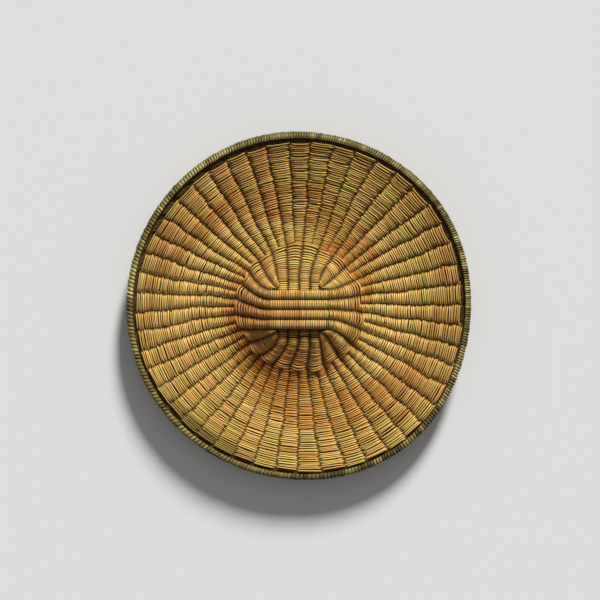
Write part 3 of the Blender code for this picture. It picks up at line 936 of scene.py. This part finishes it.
def leaf_strip():
    """A flat oval section on a helix round the ring, uneven in width and in how far it stands.

    The turns made by a direction are the sum of the ring's length over the pitch there. A turn
    is squarer than a circle: the powers of across and upright add up to the same all round.
    Painted light makes the strip lighter by a cosine round the plaque, towards the lamp, and on the
    ring's inner side, which lies in shade, apart from the side away from the lamp.
    """
    stations = 14
    rng = np.random.default_rng(81)
    way = np.linspace(0, 2 * np.pi, 1441)
    pitch = WRAP_PITCH - PITCH_SWING * np.cos(way - np.radians(45))
    pitch = pitch + 0.00035 * wander(85, way * ARMS / (2 * np.pi), 0)
    steps = 0.5 * (1 / pitch[1:] + 1 / pitch[:-1]) * np.diff(way) * RIM_RADIUS
    turns = np.append(0, np.cumsum(steps))
    wraps = int(round(turns[-1]))
    count = wraps * stations
    turn = np.arange(count + 1) / stations
    way = np.interp(turn, turns * wraps / turns[-1], way)
    pitch = np.gradient(way, turn) * RIM_RADIUS
    round_ring = 2 * np.pi * turn
    stand = WRAP_HALF - 0.00016 + 0.00022 * wander(83, turn, 0, wraps)
    across, upright = np.cos(round_ring), np.sin(round_ring)
    powers = np.abs(across) ** WRAP_POWER + np.abs(upright) ** WRAP_POWER
    stand = stand / powers ** (1 / WRAP_POWER)
    broad = smoothstep(towards(way, 115))
    out = (1.08 + 0.16 * broad) * stand * across - 0.0004 * broad
    points = on_rim(way, out, 0.94 * stand * upright)
    outward = np.stack((np.cos(way), np.sin(way), 0 * way), -1)
    # Square to such a turn: each part raised to one power less than the sum above.
    across, upright = (part * np.abs(part) ** (WRAP_POWER - 2) for part in (across, upright))
    up = outward * across[:, None] + np.array((0, 0, 1.0)) * upright[:, None]
    cuts = stem_ends(rng, wraps, 1, 6)
    rings, starts = cut_strand(cuts * stations, count + 1)
    run = np.diff(np.append(starts, len(rings)))
    # Painted light: the strip is lighter towards the lamp, by this cosine.
    light = np.cos(way - np.radians(80))
    dim = 0.08 * towards(way, 345) ** 2
    tone = 0.38 + 0.14 * light - dim + 0.18 * wander(84, turn, 0, wraps)
    # Painted light on the ring's shaded inner side, apart from the side away from the lamp.
    inner = smoothstep(0.3 - np.cos(round_ring)) * smoothstep((light + 0.6) / 0.9)
    tone = (tone + 0.34 * inner)[rings]
    tone = tone + 0.42 * np.repeat(rng.uniform(-0.5, 0.5, len(starts)), run)
    width = pitch * (0.82 + 0.20 * wander(82, turn, 0, wraps))
    # Painted shade: the inner side away from the lamp, and the outer side at the top.
    inside = 0.4 * smoothstep((-np.cos(round_ring) - 0.75) / 0.25) * smoothstep(-light)
    outside = 0.72 * smoothstep((np.cos(round_ring) - 0.1) / 0.6) * smoothstep(light)
    return tubes(
        "rim_strip",
        points[rings],
        np.gradient(points, axis=0)[rings],
        up[rings],
        width[rings],
        np.full(len(rings), STRIP_THICKNESS),
        starts,
        8,
        tone=tone,
        dip=(inside + outside)[rings],
    )


show(leaf_strip(), leaf_finish(), "leaf_strip", "rim_wrap")


# Surroundings
# A pale floor, a soft lamp from the top of the picture, low down so that the ribs stand out,
# and even light from the sky.

floor_mesh = bpy.data.meshes.new("floor")
floor_mesh.from_pydata([(-4, -4, 0), (4, -4, 0), (4, 4, 0), (-4, 4, 0)], [], [(0, 1, 2, 3)])
floor = bpy.data.objects.new("floor", floor_mesh)
bpy.context.scene.collection.objects.link(floor)
pale_floor = Finish("pale floor", 0.9)
speckle = pale_floor.noise(pale_floor.node("ShaderNodeTexCoord", "Object"), 300.0)
grey = pale_floor.mix(speckle, (0.70, 0.70, 0.69, 1), (0.74, 0.74, 0.73, 1))
floor_mesh.materials.append(pale_floor.finish(grey))

world = bpy.data.worlds.new("soft light")
bpy.context.scene.world = world
world.use_nodes = True
world.node_tree.nodes["Background"].inputs["Color"].default_value = (1, 1, 1, 1)
world.node_tree.nodes["Background"].inputs["Strength"].default_value = 0.235

lamp_data = bpy.data.lights.new("soft lamp", "SUN")
lamp_data.angle = np.radians(12)
lamp_data.energy = 6.3
lamp = bpy.data.objects.new("soft lamp", lamp_data)
bpy.context.scene.collection.objects.link(lamp)
azimuth, elevation, distance = np.radians(74), np.radians(22.5), 1.7
lamp.location = distance * np.array(
    (np.cos(azimuth) * np.cos(elevation), np.sin(azimuth) * np.cos(elevation), np.sin(elevation))
)
lamp.rotation_mode = "QUATERNION"
lamp.rotation_quaternion = lamp.location.to_track_quat("Z", "Y")

# The camera looks straight down and frames the plaque as the photo does.
METRES_PER_PIXEL = 0.000948
FRAME_PIXELS = 600
PIXELS_LEFT, PIXELS_BELOW = 1.0, 5.5  # from the frame's middle to the plaque's
camera_data = bpy.data.cameras.new("camera")
camera_data.lens = 100
camera = bpy.data.objects.new("camera", camera_data)
bpy.context.scene.collection.objects.link(camera)
frame_width = FRAME_PIXELS * METRES_PER_PIXEL
camera.location = (
    PIXELS_LEFT * METRES_PER_PIXEL,
    PIXELS_BELOW * METRES_PER_PIXEL,
    middle_height(RIM_RADIUS) + frame_width * camera_data.lens / camera_data.sensor_width,
)
bpy.context.scene.camera = camera
bpy.context.scene.view_settings.view_transform = "Standard"
